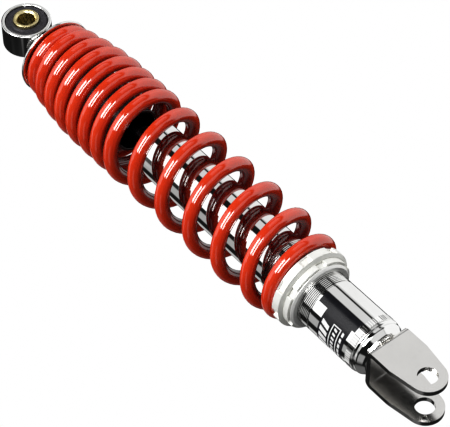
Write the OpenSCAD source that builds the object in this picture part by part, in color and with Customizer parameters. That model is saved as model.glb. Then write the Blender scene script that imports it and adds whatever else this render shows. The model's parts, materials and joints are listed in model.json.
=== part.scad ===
// Motorcycle rear shock absorber: rubber-bushed upper eye, coil spring, telescopic damper,
// threaded spring preload rings and a clevis at the lower end.
// Origin: centre of the upper eye's bore. +Z runs along the damper axis from the clevis to the eye,
// the bores run along Y. A "depth" is a distance below the origin, measured along -Z.

/* [Overall] */
// Distance from the eye's bore to the clevis holes
eye_to_eye = 330; // [328:0.5:332]
// Smooth circles
$fn = 96; // [48:16:128]

/* [Upper eye] */
// Bore of the eye's sleeve
eye_bore_d = 10; // [9:0.5:10.5]
// Outside diameter of the sleeve
sleeve_d = 14.5; // [13:0.5:15]
// Length of the sleeve
sleeve_len = 19; // [17:0.5:21]
// Outside diameter of the eye ring
eye_ring_d = 28; // [27.5:0.25:28]
// Wall of the eye ring
eye_ring_wall = 2; // [1.5:0.25:2.25]
// Width of the eye ring along the bore
eye_ring_w = 16; // [14:0.5:18]
// Width of the rolled ring's open seam
seam_w = 0.5; // [0.3:0.1:0.8]

/* [Coil spring] */
// Wire diameter
wire_d = 8; // [7.4:0.1:8]
// Mean diameter of the full-size coils
coil_d = 48; // [47.6:0.1:48.4]
// Mean diameter of the first coil, under the cap
coil_top_d = 36.6; // [36.2:0.1:36.8]
// Mean diameter of the last coil, on the adjuster
coil_bottom_d = 41.8; // [41.6:0.1:42]
// Rise per turn of the close coils
close_pitch = 10.8; // [10.6:0.05:10.8]
// Rise per turn of the open coils
open_pitch = 23; // [22.8:0.05:23]

/* [Damper] */
// Piston rod diameter
rod_d = 12; // [11:0.5:12]
// Bore of the damper cylinder
cylinder_bore_d = 20; // [19.8:0.1:20]
// Outside diameter of the outer tube's plain upper part
tube_d = 30; // [29.6:0.1:30]
// Outside diameter of the outer tube's threaded and lower part
body_d = 31.8; // [31.6:0.1:32]
// Pitch of the adjuster thread
thread_pitch = 1; // [0.75:0.25:1]

/* [Preload rings] */
// Outside diameter of the adjuster ring
adjuster_d = 46.4; // [45:0.2:47]
// Outside diameter of the lock ring
lock_ring_d = 41.6; // [40:0.2:42]
// Spanner slots in the adjuster ring
adjuster_slots = 8; // [6:1:10]
// Spanner slots in the lock ring
lock_slots = 6; // [4:1:8]

/* [Clevis] */
// Diameter of the clevis holes
clevis_hole_d = 10.5; // [10:0.25:11]
// Free gap between the ears
clevis_gap = 21; // [20:0.5:22]
// Sheet thickness of the bracket
clevis_sheet = 3; // [2.5:0.25:3]
// Width of the ears at the web
clevis_w = 24.6; // [24:0.2:25]
// Radius of the ears' round ends
ear_r = 10; // [9.5:0.1:10.5]

/* [Hidden] */

run_fit = 0.03;
joint_gap = 0.02;

// Rod top: eye boss, lock nut, cap and cover, one below the other on the rod's thread.
eye_r = eye_ring_d / 2;
thread_top_r = 5;
thread_top_hole = thread_top_r + 0.05;
rod_end_depth = eye_r - eye_ring_wall + 0.2;
boss_r = 7.6;
eye_weld_r = 1.1;
nut_top = 15.2;
nut_h = 5.1;
cap_top = nut_top + nut_h;
cap_sheet = 1.5;
cover_top = cap_top + cap_sheet;
cover_plate = 1.5;
rod_shoulder = cover_top + cover_plate;
seam_angle = 58;

// The spring's centre line. A turn count runs from the top end of the wire to its bottom end, and
// the rise per turn goes up and down in straight ramps between the dead ends, the close coils and
// the open coils. A dead end lies flat on its seat.
wire_r = wire_d / 2;
wire_sides = 16;
steps_per_turn = 24;
coil_phase = -126;
first_turn = 0.3;
last_turn = 14.6;
leave_cap = 0.6;
reach_close = 1.6;
leave_close = 7.7;
reach_open = 8.7;
leave_open = 13.36;
reach_seat = 14.16;
full_from = 4.8;
full_to = 12.4;
top_flat_to = 1;
bottom_flat_from = 14.1;
taper_power = 1.6;
top_coil_depth = 31.2;
seat_gap = 0.1;

function ramp_area(t, from, to) =
    t <= from ? 0 : t >= to ? (to - from) / 2 + (t - to) : pow(t - from, 2) / (2 * (to - from));
function coil_depth(t) = top_coil_depth
    + close_pitch * ramp_area(t, leave_cap, reach_close)
    + (open_pitch - close_pitch) * ramp_area(t, leave_close, reach_open)
    - open_pitch * ramp_area(t, leave_open, reach_seat);
function top_taper(t) =
    pow(max(full_from - max(t, top_flat_to), 0) / (full_from - top_flat_to), taper_power);
function bottom_taper(t) =
    pow(max(min(t, bottom_flat_from) - full_to, 0) / (bottom_flat_from - full_to), taper_power);
function coil_r(t) = coil_d / 2
    - (coil_d - coil_top_d) / 2 * top_taper(t)
    - (coil_d - coil_bottom_d) / 2 * bottom_taper(t);

// Spring cap.
cap_seat = top_coil_depth - wire_r - seat_gap;
cap_hat_r = 13.2;
cap_rim_r = 22.6;
cap_lip = 0.3;

// Dust cover, bump stop and their travel.
cover_r = 12.9;
cover_wall = 1.3;
cover_lip_r = 13.1;
cover_lip_h = 2;
cover_bottom = 101;
bump_bottom = 56;
bump_washer_h = 1.5;
bump_r = 10.5;

// Inside the damper cylinder.
rod_r = rod_d / 2;
bore_r = cylinder_bore_d / 2;
cylinder_r = bore_r + 1.2;
retainer_top = 118.4;
retainer_h = 1.4;
seal_top = retainer_top + 2.6;
guide_top = seal_top + 3.5;
guide_h = 15;
guide_bottom = guide_top + guide_h;
bumper_top = guide_bottom + 0.4;
bumper_h = 6;
piston_shoulder = 152;
shim_h = 0.8;
piston_top = piston_shoulder + shim_h;
piston_h = 12;
piston_clear = 0.35;
groove_h = 3.2;
groove_r = bore_r - 1.4;
tenon_r = 4;
nut_top_lower = piston_top + piston_h + shim_h;
piston_nut_h = 6.5;
cylinder_bottom = 289;
base_valve_top = 276;
base_valve_h = 8;

// Outer tube, threaded part and base.
tube_top = 117.5;
tube_r = tube_d / 2;
tube_bore_r = 13.4;
body_r = body_d / 2;
thread_start = 223.5;
thread_length = 36;
thread_ridges = floor(thread_length / thread_pitch);
thread_end = thread_start + thread_ridges * thread_pitch;
thread_depth = 0.55;
tube_bottom = 291.8;
collar_top = 287.6;
collar_skin = 0.2;
label_top = 267;
label_bottom = 285.4;
flap_top = 260.6;
flap_bottom = collar_top - 0.3;
label_from = -240;
flap_from = -126;
label_to = -104;
label_skin = 0.15;
web_top = eye_to_eye - 30.2;
cup_depth = web_top - tube_bottom;
cup_floor_r = 12.7;
cup_bulge = 1.2;
weld_y = 12.8;
weld_depth = web_top + 0.4;
weld_r = 1.3;
weld_len = 9;

// Preload rings. The spring stands on the seat washer, which lies on the adjuster ring.
ring_bore_r = body_r + run_fit + 0.02;
washer_top = coil_depth(last_turn) + wire_r + seat_gap;
washer_h = 0.8;
washer_r = 21.8;
adjuster_top = washer_top + washer_h + run_fit;
adjuster_h = 5.6;
adjuster_step_r = 21.1;
adjuster_step_h = 1;
slot_depth = 1.4;
slot_angle = 14.5;
slot_phase = -99;
lock_gap = 0.1;
lock_top = adjuster_top + adjuster_h + lock_gap;
lock_h = 3.6;
lock_slot_phase = -83.5;
lock_slot_depth = 1.1;
lock_washer_top = lock_top + lock_h + run_fit;
lock_washer_h = 1.8;
lock_washer_r = 19.4;

// Clevis.
ear_out_y = clevis_gap / 2 + clevis_sheet;
ear_bend_r = 3.5;
ear_side_depth = eye_to_eye - 14;
locating_hole_r = 1.3;
locating_hole_at = 7.6;
locating_hole_angle = -131;

// A ring about the damper axis between two depths.
module ring(top, bottom, outer, inner) {
    translate([0, 0, -bottom])
        difference() {
            cylinder(h = bottom - top, r = outer);
            translate([0, 0, -1]) cylinder(h = bottom - top + 2, r = inner);
        }
}

// A turned part, from an outline of [radius, depth] points.
module turned(points) {
    rotate_extrude() polygon([for (p = points) [p[0], -p[1]]]);
}

// A ring about the eye's bore.
module eye_tube(width, outer, inner) {
    rotate([90, 0, 0])
        difference() {
            cylinder(h = width, r = outer, center = true);
            cylinder(h = width + 2, r = inner, center = true);
        }
}

// A hexagonal nut with chamfered corners.
module hex_nut(top, height, across_flats, bore) {
    corner = across_flats / 2 / cos(30);
    bevel = corner - across_flats / 2;
    translate([0, 0, -top - height])
        difference() {
            intersection() {
                cylinder(h = height, r = corner, $fn = 6);
                rotate_extrude()
                    polygon([[0, 0], [corner - bevel, 0], [corner, bevel / 2],
                             [corner, height - bevel / 2], [corner - bevel, height], [0, height]]);
            }
            translate([0, 0, -1]) cylinder(h = height + 2, r = bore);
        }
}

// Spanner slots cut into a ring's rim.
module rim_slots(count, phase, top, height, outer, depth) {
    half = outer * sin(slot_angle / 2);
    for (i = [0 : count - 1])
        rotate([0, 0, phase + i * 360 / count])
            translate([outer - depth, -half, -top - height])
                cube([depth + 2, 2 * half, height + 1]);
}

module eye_sleeve() {
    color("goldenrod") eye_tube(sleeve_len, sleeve_d / 2, eye_bore_d / 2);
}

module rubber_bushing() {
    half = eye_ring_w / 2 - 0.4;
    inner = sleeve_d / 2 + run_fit;
    outer = eye_r - eye_ring_wall - joint_gap;
    color("dimgray")
        rotate([90, 0, 0])
            rotate_extrude()
                polygon([[inner, -half], [outer - 0.8, -half], [outer, -half + 0.8],
                         [outer, half - 0.8], [outer - 0.8, half], [inner, half]]);
}

module eye_ring() {
    color("silver")
        difference() {
            eye_tube(eye_ring_w, eye_r, eye_r - eye_ring_wall);
            rotate([0, -seam_angle, 0])
                translate([eye_r - eye_ring_wall - 1, -eye_ring_w, -seam_w / 2])
                    cube([eye_ring_wall + 2, 2 * eye_ring_w, seam_w]);
            translate([0, 0, -eye_r - 1]) cylinder(h = eye_r, r = thread_top_hole);
        }
}

module eye_boss() {
    color("silver")
        difference() {
            translate([0, 0, -nut_top]) cylinder(h = nut_top - eye_r / 2, r = boss_r);
            rotate([90, 0, 0]) cylinder(h = eye_ring_w + 2, r = eye_r + joint_gap, center = true);
            translate([0, 0, -nut_top - 1]) cylinder(h = eye_r, r = thread_top_hole);
        }
}

module eye_weld() {
    color("gray")
        difference() {
            translate([0, 0, -eye_r + 0.4]) rotate_extrude() translate([boss_r, 0]) circle(r = eye_weld_r);
            rotate([90, 0, 0]) cylinder(h = eye_ring_w + 4, r = eye_r, center = true);
            translate([0, 0, -nut_top - 1]) cylinder(h = eye_r, r = boss_r);
        }
}

module lock_nut() {
    color("lightgray") rotate([0, 0, 15]) hex_nut(nut_top, nut_h, 17, thread_top_hole);
}

module spring_cap() {
    inner = thread_top_hole;
    hat_out = cap_hat_r + cap_sheet;
    seat_back = cap_seat - cap_sheet;
    color("silver")
        turned([[inner, cap_top], [hat_out - 1, cap_top], [hat_out, cap_top + 1],
                [hat_out, seat_back], [cap_rim_r - 1, seat_back], [cap_rim_r, seat_back + 1],
                [cap_rim_r, cap_seat + cap_lip], [cap_rim_r - 1.3, cap_seat + cap_lip],
                [cap_rim_r - 1.3, cap_seat], [cap_hat_r, cap_seat],
                [cap_hat_r, cap_top + cap_sheet], [inner, cap_top + cap_sheet]]);
}

module dust_cover() {
    inner = cover_r - cover_wall;
    lip_top = cover_bottom - cover_lip_h;
    color("#222222")
        turned([[thread_top_hole, cover_top], [cover_r, cover_top], [cover_r, lip_top],
                [cover_lip_r, lip_top], [cover_lip_r, cover_bottom], [inner, cover_bottom],
                [inner, rod_shoulder], [thread_top_hole, rod_shoulder]]);
}

module bump_stop() {
    inner = rod_r + 0.05;
    waist = bump_r - 1.6;
    middle = (rod_shoulder + bump_bottom) / 2;
    color("#333333")
        turned([[inner, rod_shoulder], [bump_r, rod_shoulder], [bump_r, middle - 4], [waist, middle],
                [bump_r, middle + 4], [bump_r - 2, bump_bottom], [inner, bump_bottom]]);
}

module bump_washer() {
    color("gray") ring(bump_bottom, bump_bottom + bump_washer_h, bump_r - 1, rod_r + 0.05);
}

module piston_rod() {
    bottom = nut_top_lower + piston_nut_h + 1;
    color("whitesmoke")
        turned([[0, rod_end_depth], [thread_top_r - 0.8, rod_end_depth],
                [thread_top_r, rod_end_depth + 0.8], [thread_top_r, rod_shoulder],
                [rod_r, rod_shoulder], [rod_r, piston_shoulder], [tenon_r, piston_shoulder],
                [tenon_r, bottom - 0.6], [tenon_r - 0.6, bottom], [0, bottom]]);
}

module rebound_bumper() {
    color("beige") ring(bumper_top, bumper_top + bumper_h, bore_r - 1, rod_r + 0.05);
}

module rebound_shim() {
    color("gray") ring(piston_shoulder, piston_shoulder + shim_h, bore_r - 1.5, tenon_r + 0.05);
}

module piston() {
    port_r = 0.9;
    groove_top = piston_top + (piston_h - groove_h) / 2;
    color("gray")
        difference() {
            ring(piston_top, piston_top + piston_h, bore_r - piston_clear, tenon_r + 0.05);
            ring(groove_top, groove_top + groove_h, bore_r + 1, groove_r);
            for (i = [0 : 5])
                rotate([0, 0, i * 60])
                    translate([(groove_r + tenon_r) / 2, 0, -piston_top - piston_h - 1])
                        cylinder(h = piston_h + 2, r = port_r);
        }
}

module piston_ring() {
    top = piston_top + (piston_h - groove_h) / 2 + 0.05;
    color("ivory") ring(top, top + groove_h - 0.1, bore_r - run_fit, groove_r + 0.05);
}

module compression_shim() {
    top = piston_top + piston_h;
    color("gray") ring(top, top + shim_h, bore_r - 2, tenon_r + 0.05);
}

module piston_nut() {
    color("lightgray") hex_nut(nut_top_lower, piston_nut_h, 13, tenon_r + 0.05);
}

// A round wire swept along the spring's centre line. Each ring of points leans with the local rise.
function coil_lean(t) = atan2(coil_depth(t + 0.01) - coil_depth(t - 0.01), 0.02 * 2 * PI * coil_r(t));
function wire_point(t, a) =
    let (turn = coil_phase - 360 * t, lean = coil_lean(t),
         out = coil_r(t) + wire_r * cos(a),
         along = wire_r * sin(a) * sin(lean),
         up = wire_r * sin(a) * cos(lean))
    [out * cos(turn) - along * sin(turn), out * sin(turn) + along * cos(turn), up - coil_depth(t)];

module coil_spring() {
    rings = round((last_turn - first_turn) * steps_per_turn);
    points = [for (i = [0 : rings]) for (k = [0 : wire_sides - 1])
              wire_point(first_turn + (last_turn - first_turn) * i / rings, k * 360 / wire_sides)];
    sides = [for (i = [0 : rings - 1]) for (k = [0 : wire_sides - 1])
             let (a = i * wire_sides + k, b = i * wire_sides + (k + 1) % wire_sides)
             [a, b, b + wire_sides, a + wire_sides]];
    start = [for (k = [0 : wire_sides - 1]) wire_sides - 1 - k];
    end = [for (k = [0 : wire_sides - 1]) rings * wire_sides + k];
    color("red") polyhedron(points = points, faces = concat([start, end], sides));
}

// Plain tube, a run of thread ridges, then the plain lower body.
module outer_tube() {
    root_r = body_r - thread_depth;
    ridge_points = [for (i = [0 : thread_ridges - 1])
                    let (top = thread_start + i * thread_pitch)
                    each [[root_r, top], [body_r, top + thread_pitch * 0.4],
                          [body_r, top + thread_pitch * 0.6]]];
    color("lightsteelblue")
        turned(concat([[tube_bore_r, tube_top], [tube_r, tube_top], [tube_r, thread_start]],
                      ridge_points,
                      [[root_r, thread_end], [body_r, thread_end + thread_pitch * 0.4],
                       [body_r, tube_bottom], [tube_bore_r, tube_bottom]]));
}

module damper_cylinder() {
    color("slategray") ring(retainer_top + retainer_h, cylinder_bottom, cylinder_r, bore_r);
}

module seal_retainer() {
    color("gray") ring(retainer_top, retainer_top + retainer_h, cylinder_r, bore_r - 1);
}

module dust_wiper() {
    lip = rod_r + run_fit;
    color("#333333")
        turned([[lip, retainer_top - 0.6], [lip + 1, retainer_top - 0.6],
                [lip + 1.6, retainer_top + retainer_h], [bore_r, retainer_top + retainer_h],
                [bore_r, seal_top], [lip, seal_top]]);
}

module rod_seal() {
    color("#444444") ring(seal_top, guide_top, bore_r, rod_r + run_fit);
}

module rod_guide() {
    bush_r = rod_r + 1.2;
    color("gray")
        difference() {
            ring(guide_top, guide_bottom, bore_r, rod_r + 0.4);
            ring(guide_top + 1, guide_bottom - 1, bush_r, 0);
        }
}

module guide_bush() {
    color("peru") ring(guide_top + 1, guide_bottom - 1, rod_r + 1.2, rod_r + run_fit);
}

module base_valve_shim() {
    color("lightgray") ring(base_valve_top - shim_h, base_valve_top, bore_r - 3, 2);
}

module base_valve() {
    color("gray")
        difference() {
            ring(base_valve_top, base_valve_top + base_valve_h, bore_r, 2);
            for (i = [0 : 3])
                rotate([0, 0, 45 + i * 90])
                    translate([bore_r / 2, 0, -base_valve_top - base_valve_h - 1])
                        cylinder(h = base_valve_h + 2, r = 1.2);
        }
}

module base_valve_rivet() {
    head_h = 1.5;
    color("silver")
        turned([[0, base_valve_top - shim_h - head_h], [3.2, base_valve_top - shim_h - head_h],
                [3.2, base_valve_top - shim_h], [2, base_valve_top - shim_h],
                [2, base_valve_top + base_valve_h + 1], [0, base_valve_top + base_valve_h + 1]]);
}

module arc_band(from, to, top, bottom, inner, outer) {
    translate([0, 0, -bottom])
        rotate([0, 0, from])
            rotate_extrude(angle = to - from)
                translate([inner, 0]) square([outer - inner, bottom - top]);
}

// The label has a taller flap at one end: the rest of it is trimmed above and below.
module label_wrap() {
    color("#202024")
        difference() {
            arc_band(label_from, label_to, flap_top, flap_bottom, body_r, body_r + label_skin);
            arc_band(label_from - 1, flap_from, flap_top - 1, label_top, body_r - 1, body_r + 1);
            arc_band(label_from - 1, flap_from, label_bottom, flap_bottom + 1, body_r - 1, body_r + 1);
        }
}

module crimp_collar() {
    color("silver") ring(collar_top, tube_bottom, body_r + collar_skin, body_r);
}

// A cup that closes the tube's foot and narrows to the clevis with a bulging shoulder.
module cup_shape() {
    shoulder = [for (u = [0 : 0.125 : 1])
                [cup_floor_r + (body_r - cup_floor_r) * (1 - pow(u, cup_bulge)),
                 tube_bottom + joint_gap + (cup_depth - joint_gap) * u]];
    plug_r = tube_bore_r - joint_gap;
    turned(concat([[0, cylinder_bottom], [plug_r, cylinder_bottom], [plug_r, tube_bottom + joint_gap]],
                  shoulder, [[0, web_top]]));
}

module base_cup() {
    color("silver") cup_shape();
}

// Two short weld beads in the corners between the cup and the clevis bends.
module base_weld() {
    color("gray")
        difference() {
            for (side = [-1, 1])
                translate([0, side * weld_y, -weld_depth])
                    rotate([0, 90, 0]) cylinder(h = weld_len, r = weld_r, center = true);
            cup_shape();
            bracket_shape();
        }
}

// One ear's flat outline: straight-sided at the web, then drawn in along the two lines that touch
// its round end.
module ear_outline() {
    half = clevis_w / 2;
    reach = eye_to_eye - ear_side_depth;
    touch = atan2(reach, half) - acos(ear_r / norm([half, reach]));
    touch_x = ear_r * cos(touch);
    touch_y = ear_r * sin(touch) - eye_to_eye;
    difference() {
        union() {
            translate([-half, -ear_side_depth]) square([clevis_w, ear_side_depth - web_top - ear_bend_r]);
            translate([0, -eye_to_eye]) circle(r = ear_r);
            polygon([[-half, -ear_side_depth], [half, -ear_side_depth],
                     [touch_x, touch_y], [-touch_x, touch_y]]);
        }
        translate([0, -eye_to_eye]) circle(r = clevis_hole_d / 2);
    }
}

// A quarter-round bend between the web and the ear on one side.
module bend(side) {
    translate([-clevis_w / 2, side * (ear_out_y - ear_bend_r), -web_top - ear_bend_r])
        rotate([90, 0, 90])
            linear_extrude(height = clevis_w)
                intersection() {
                    difference() {
                        circle(r = ear_bend_r);
                        circle(r = ear_bend_r - clevis_sheet);
                    }
                    translate([side > 0 ? 0 : -ear_bend_r, 0]) square(ear_bend_r);
                }
}

module bracket_shape() {
    web_half = ear_out_y - ear_bend_r;
    hole_x = locating_hole_at * cos(locating_hole_angle);
    hole_z = locating_hole_at * sin(locating_hole_angle) - eye_to_eye;
    difference() {
        union() {
            translate([-clevis_w / 2, -web_half, -web_top - clevis_sheet])
                cube([clevis_w, 2 * web_half, clevis_sheet]);
            for (side = [-1, 1]) {
                bend(side);
                translate([0, side * (clevis_gap + clevis_sheet) / 2 + clevis_sheet / 2, 0])
                    rotate([90, 0, 0]) linear_extrude(height = clevis_sheet) ear_outline();
            }
        }
        translate([hole_x, 0, hole_z]) rotate([-90, 0, 0]) cylinder(h = ear_out_y + 1, r = locating_hole_r);
    }
}

module clevis_bracket() {
    color("silver") bracket_shape();
}

module seat_washer() {
    color("gray") ring(washer_top, washer_top + washer_h, washer_r, ring_bore_r);
}

module adjuster_ring() {
    step_top = adjuster_top + adjuster_h - adjuster_step_h;
    r = adjuster_d / 2;
    color("gainsboro")
        difference() {
            turned([[ring_bore_r, adjuster_top], [r - 0.5, adjuster_top], [r, adjuster_top + 0.5],
                    [r, step_top], [adjuster_step_r, adjuster_top + adjuster_h],
                    [ring_bore_r, adjuster_top + adjuster_h]]);
            rim_slots(adjuster_slots, slot_phase, adjuster_top - 1,
                      adjuster_h - adjuster_step_h + 1, r, slot_depth);
        }
}

module lock_ring() {
    r = lock_ring_d / 2;
    color("lightgray")
        difference() {
            turned([[ring_bore_r, lock_top], [r - 0.3, lock_top], [r, lock_top + 0.3],
                    [r, lock_top + lock_h - 0.5], [r - 0.5, lock_top + lock_h],
                    [ring_bore_r, lock_top + lock_h]]);
            rim_slots(lock_slots, lock_slot_phase, lock_top - 1, lock_h + 2, r, lock_slot_depth);
        }
}

module lock_washer() {
    bottom = lock_washer_top + lock_washer_h;
    color("silver")
        turned([[ring_bore_r, lock_washer_top], [lock_washer_r, lock_washer_top],
                [lock_washer_r, bottom - 1], [lock_washer_r - 1, bottom], [ring_bore_r, bottom]]);
}

eye_sleeve();
rubber_bushing();
eye_ring();
eye_boss();
eye_weld();
lock_nut();
spring_cap();
dust_cover();
bump_stop();
bump_washer();
piston_rod();
rebound_bumper();
rebound_shim();
piston();
piston_ring();
compression_shim();
piston_nut();
coil_spring();
outer_tube();
damper_cylinder();
seal_retainer();
dust_wiper();
rod_seal();
rod_guide();
guide_bush();
base_valve_shim();
base_valve();
base_valve_rivet();
label_wrap();
crimp_collar();
base_cup();
base_weld();
clevis_bracket();
seat_washer();
adjuster_ring();
lock_ring();
lock_washer();
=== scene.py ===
"""Rear shock absorber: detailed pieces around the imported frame.

Lengths inside this file are millimetres until a mesh is made, and a "depth" is a distance
below the upper eye's bore.
"""
import json
from math import acos, atan2, cos, hypot, pi, radians, sin, tan

import bmesh
import bpy
from mathutils import Matrix, Vector, noise


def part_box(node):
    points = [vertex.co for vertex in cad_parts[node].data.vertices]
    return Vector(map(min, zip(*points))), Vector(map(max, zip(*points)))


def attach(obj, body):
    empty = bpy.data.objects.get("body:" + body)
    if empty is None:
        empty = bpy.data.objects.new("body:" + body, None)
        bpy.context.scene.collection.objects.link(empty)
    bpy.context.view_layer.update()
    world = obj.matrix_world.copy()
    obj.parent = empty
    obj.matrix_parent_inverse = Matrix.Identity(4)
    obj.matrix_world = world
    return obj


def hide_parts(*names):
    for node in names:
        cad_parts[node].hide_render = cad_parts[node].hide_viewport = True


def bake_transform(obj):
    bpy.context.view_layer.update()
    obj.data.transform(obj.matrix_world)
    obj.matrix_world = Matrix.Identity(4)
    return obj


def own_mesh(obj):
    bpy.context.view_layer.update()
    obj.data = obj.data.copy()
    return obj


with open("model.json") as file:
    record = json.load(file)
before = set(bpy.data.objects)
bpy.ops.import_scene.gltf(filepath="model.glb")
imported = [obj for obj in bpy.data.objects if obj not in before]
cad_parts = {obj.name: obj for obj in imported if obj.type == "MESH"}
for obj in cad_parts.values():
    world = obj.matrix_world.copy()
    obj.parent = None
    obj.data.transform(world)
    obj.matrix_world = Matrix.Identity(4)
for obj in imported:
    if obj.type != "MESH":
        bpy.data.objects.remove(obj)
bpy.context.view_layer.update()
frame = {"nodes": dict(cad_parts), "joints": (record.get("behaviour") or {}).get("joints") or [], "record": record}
MM = 0.001
STEPS = 128
SHARP_ANGLE = radians(38)


# ---------------------------------------------------------------- sizes read from the frame

def span(node):
    """Outer radius about the damper axis, top depth and bottom depth of a CAD node."""
    low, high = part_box(node)
    return high.x / MM, -high.z / MM, -low.z / MM


# ---------------------------------------------------------------- mesh helpers

def mesh_from(name, points, faces):
    """An object with a closed mesh, its normals outward. Points are in millimetres."""
    work = bmesh.new()
    verts = [work.verts.new(Vector(p) * MM) for p in points]
    for face in faces:
        work.faces.new([verts[i] for i in face])
    bmesh.ops.remove_doubles(work, verts=work.verts, dist=1e-7)
    bmesh.ops.dissolve_degenerate(work, edges=work.edges, dist=1e-8)
    bmesh.ops.recalc_face_normals(work, faces=work.faces)
    mesh = bpy.data.meshes.new(name)
    work.to_mesh(mesh)
    work.free()
    obj = bpy.data.objects.new(name, mesh)
    bpy.context.scene.collection.objects.link(obj)
    return obj


def settle(obj):
    """Applies the object's modifiers."""
    graph = bpy.context.evaluated_depsgraph_get()
    mesh = bpy.data.meshes.new_from_object(obj.evaluated_get(graph))
    obj.modifiers.clear()
    obj.data = mesh


def cut(obj, tool, operation="DIFFERENCE"):
    mod = obj.modifiers.new("cut", "BOOLEAN")
    mod.operation, mod.object, mod.solver = operation, tool, "EXACT"
    settle(obj)
    bpy.data.objects.remove(tool)


def bevel(obj, width, segments=3, angle=40):
    mod = obj.modifiers.new("bevel", "BEVEL")
    mod.width, mod.segments, mod.limit_method = width * MM, segments, "ANGLE"
    mod.angle_limit = radians(angle)
    settle(obj)


def finish_mesh(obj, weighted=True):
    """Smooth faces, sharp edges by angle, and normals that keep flat faces flat beside rounded edges."""
    mesh = obj.data
    mesh.polygons.foreach_set("use_smooth", [True] * len(mesh.polygons))
    work = bmesh.new()
    work.from_mesh(mesh)
    for edge in work.edges:
        edge.smooth = len(edge.link_faces) == 2 and edge.calc_face_angle(0) < SHARP_ANGLE
    work.to_mesh(mesh)
    work.free()
    if weighted:
        mod = obj.modifiers.new("normals", "WEIGHTED_NORMAL")
        mod.keep_sharp = True
        settle(obj)


def place(obj, body, slot, *materials, nodes=(), weighted=True):
    finish_mesh(obj, weighted)
    obj.data.materials.clear()
    for mat in materials:
        obj.data.materials.append(mat)
    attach(obj, body)
    if nodes:
        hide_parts(*nodes)
    return obj


def rounded(corners, steps=5):
    """An outline whose corners (x, y, radius) are rounded by arcs."""
    out = []
    for i, (x, y, radius) in enumerate(corners):
        corner = Vector((x, y))
        back = Vector(corners[i - 1][:2]) - corner
        ahead = Vector(corners[(i + 1) % len(corners)][:2]) - corner
        if radius <= 0:
            out.append((x, y))
            continue
        half = back.angle(ahead) / 2
        reach = min(radius / tan(half), 0.48 * back.length, 0.48 * ahead.length)
        radius = reach * tan(half)
        back.normalize()
        ahead.normalize()
        centre = corner + (back + ahead).normalized() * (radius / sin(half))
        first = corner + back * reach - centre
        last = corner + ahead * reach - centre
        start = atan2(first.y, first.x)
        turn = (atan2(last.y, last.x) - start + pi) % (2 * pi) - pi
        for k in range(steps + 1):
            a = start + turn * k / steps
            out.append((centre.x + radius * cos(a), centre.y + radius * sin(a)))
    return out


def columns_mesh(name, columns, closed=True, axis="z"):
    """A solid of revolution made of (angle, outline) columns with equally many (r, depth) points each."""
    n = len(columns[0][1])
    points = []
    for angle, outline in columns:
        for r, d in outline:
            c, s = r * cos(angle), r * sin(angle)
            points.append((c, s, -d) if axis == "z" else (c, d, s))
    faces = []
    count = len(columns)
    for i in range(count if closed else count - 1):
        for k in range(n):
            a, b = i * n + k, i * n + (k + 1) % n
            c, d = (i + 1) % count * n + (k + 1) % n, (i + 1) % count * n + k
            faces.append((a, b, c, d))
    if not closed:
        faces += [tuple(range(n)), tuple(range((count - 1) * n, count * n))]
    return mesh_from(name, points, faces)


def lathe(name, outline, steps=STEPS, start=0.0, sweep=2 * pi, axis="z"):
    closed = sweep >= 2 * pi - 1e-9
    count = steps if closed else steps + 1
    columns = [(start + sweep * i / steps, outline) for i in range(count)]
    return columns_mesh(name, columns, closed, axis)


def slotted(name, plain, slots, count, phase, width, steps=8):
    """A ring with slots. The plain and slots outlines have equally many points; width is in degrees."""
    columns = []
    for i in range(count):
        middle = phase + 360 * i / count
        edge = middle + width / 2
        rest = 360 / count - width
        for k in range(5):
            columns.append((radians(middle - width / 2 + width * k / 4), slots))
        for k in range(2 * steps + 1):
            columns.append((radians(edge + rest * k / (2 * steps)), plain))
    return columns_mesh(name, columns)


def sweep(name, path, sides=16, closed=False):
    """A round bar along a path of (point, out, up, r) rings."""
    points, faces = [], []
    for centre, out, up, r in path:
        for k in range(sides):
            a = 2 * pi * k / sides
            points.append(tuple(centre + (out * cos(a) + up * sin(a)) * r))
    count = len(path)
    for i in range(count if closed else count - 1):
        for k in range(sides):
            a, b = i * sides + k, i * sides + (k + 1) % sides
            j = (i + 1) % count
            faces.append((a, b, j * sides + (k + 1) % sides, j * sides + k))
    if not closed:
        faces += [tuple(range(sides)), tuple(range((count - 1) * sides, count * sides))]
    return mesh_from(name, points, faces)


# ---------------------------------------------------------------- materials

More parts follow.
